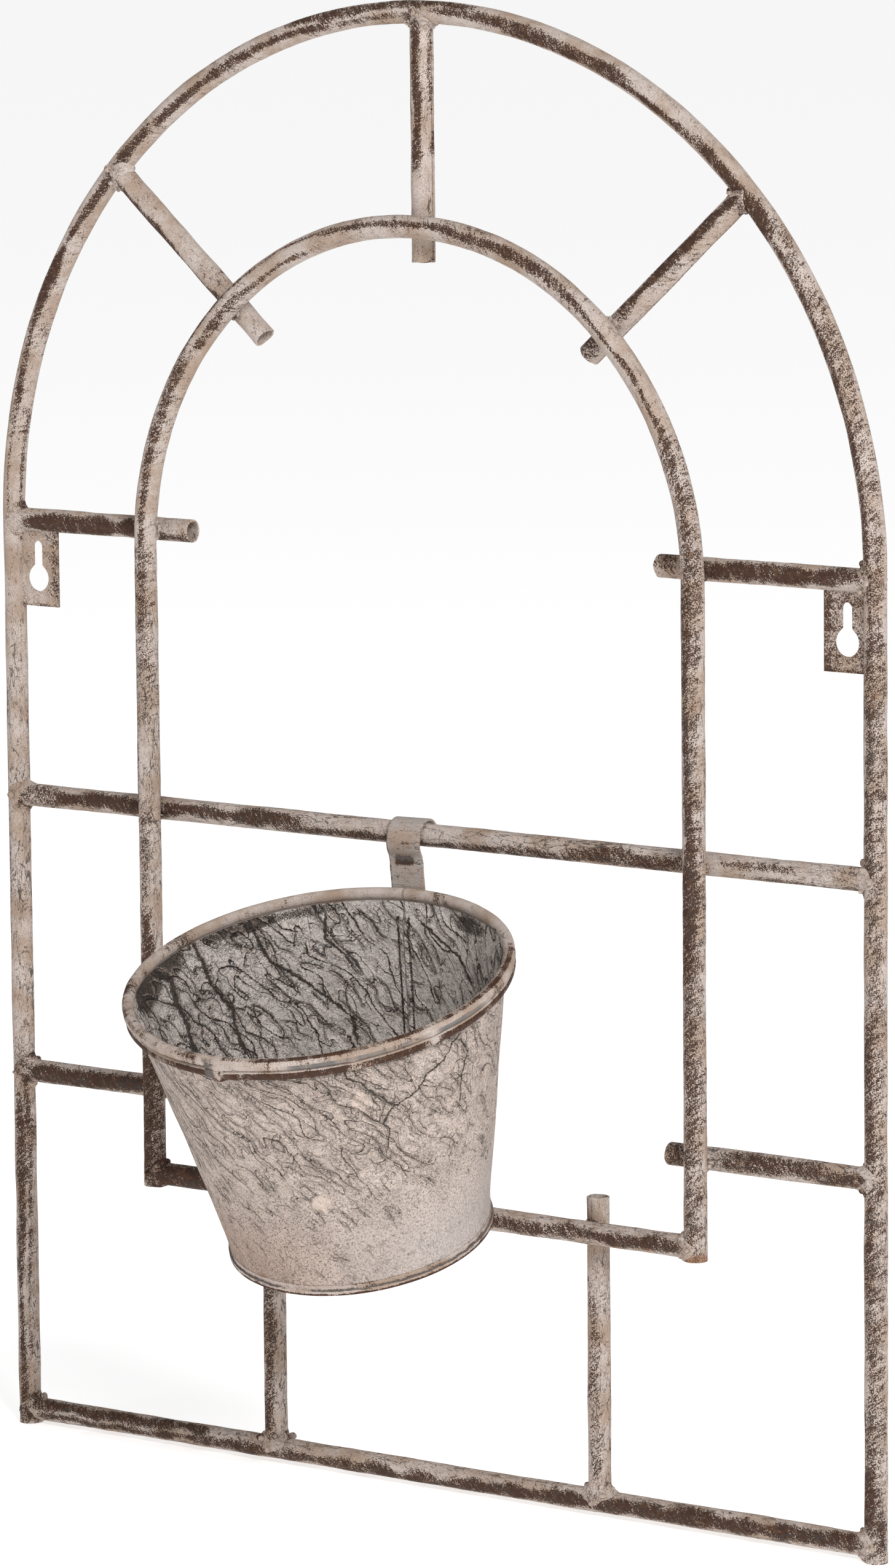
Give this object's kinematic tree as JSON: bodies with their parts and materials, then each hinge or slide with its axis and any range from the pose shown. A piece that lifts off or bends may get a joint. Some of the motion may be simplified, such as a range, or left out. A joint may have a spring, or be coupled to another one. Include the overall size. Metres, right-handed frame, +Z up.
{
  "type": "wall plant pot rack",
  "caption": "Arched window shaped wall rack of welded steel tube with keyhole plates and a tapered sheet metal plant pot hooked over its crossbar.",
  "frame": {"origin": "midway between the two keyholes, in the middle plane of the outer frame and the keyhole plates", "axes": "+X to the right as seen from the room, +Y towards the wall, +Z up"},
  "size_m": [0.446, 0.17, 0.6194],
  "materials": {
    "frame_paint": "pale grey wash brushed over dark brown, rubbed through along the ridges",
    "weld_paint": "lumpy weld under the same wash",
    "pot_paint": "pale crackled wash over dark brown sheet metal",
    "hook_paint": "grey wash, brown at the edges",
    "rim_wire": "plain wire, hidden in the rolled rim"
  },
  "bodies": {
    "frame": {"outer_arch_tube": "frame_paint", "outer_bottom_bar": "frame_paint", "inner_arch_tube": "frame_paint", "inner_bottom_bar": "frame_paint", "crossbar": "frame_paint", "top_spoke": "frame_paint", "left_spoke": "frame_paint", "right_spoke": "frame_paint", "left_shoulder_bar": "frame_paint", "right_shoulder_bar": "frame_paint", "left_lower_bar": "frame_paint", "right_lower_bar": "frame_paint", "left_foot_post": "frame_paint", "right_foot_post": "frame_paint", "left_hanger_plate": "frame_paint", "right_hanger_plate": "frame_paint", "outer_bottom_bar_left_weld": "weld_paint", "outer_bottom_bar_right_weld": "weld_paint", "inner_bottom_bar_left_weld": "weld_paint", "inner_bottom_bar_right_weld": "weld_paint", "crossbar_left_weld": "weld_paint", "crossbar_right_weld": "weld_paint", "left_shoulder_bar_weld": "weld_paint", "right_shoulder_bar_weld": "weld_paint", "left_lower_bar_weld": "weld_paint", "right_lower_bar_weld": "weld_paint", "left_foot_post_weld": "weld_paint", "right_foot_post_weld": "weld_paint", "left_spoke_weld": "weld_paint", "right_spoke_weld": "weld_paint", "top_spoke_weld": "weld_paint", "frame_tack_welds": "weld_paint"},
    "pot": {"pot_wall": "pot_paint", "pot_rim_band": "pot_paint", "pot_rim_wire": "rim_wire", "pot_base": "pot_paint", "pot_hook": "hook_paint"}
  },
  "joints": [
    {"name": "pot_swing", "type": "hinge", "parent": "frame", "child": "pot", "pos_m": [0, 0, -0.094], "axis": [-1, 0, 0], "range_deg": [0, 45]}
  ]
}
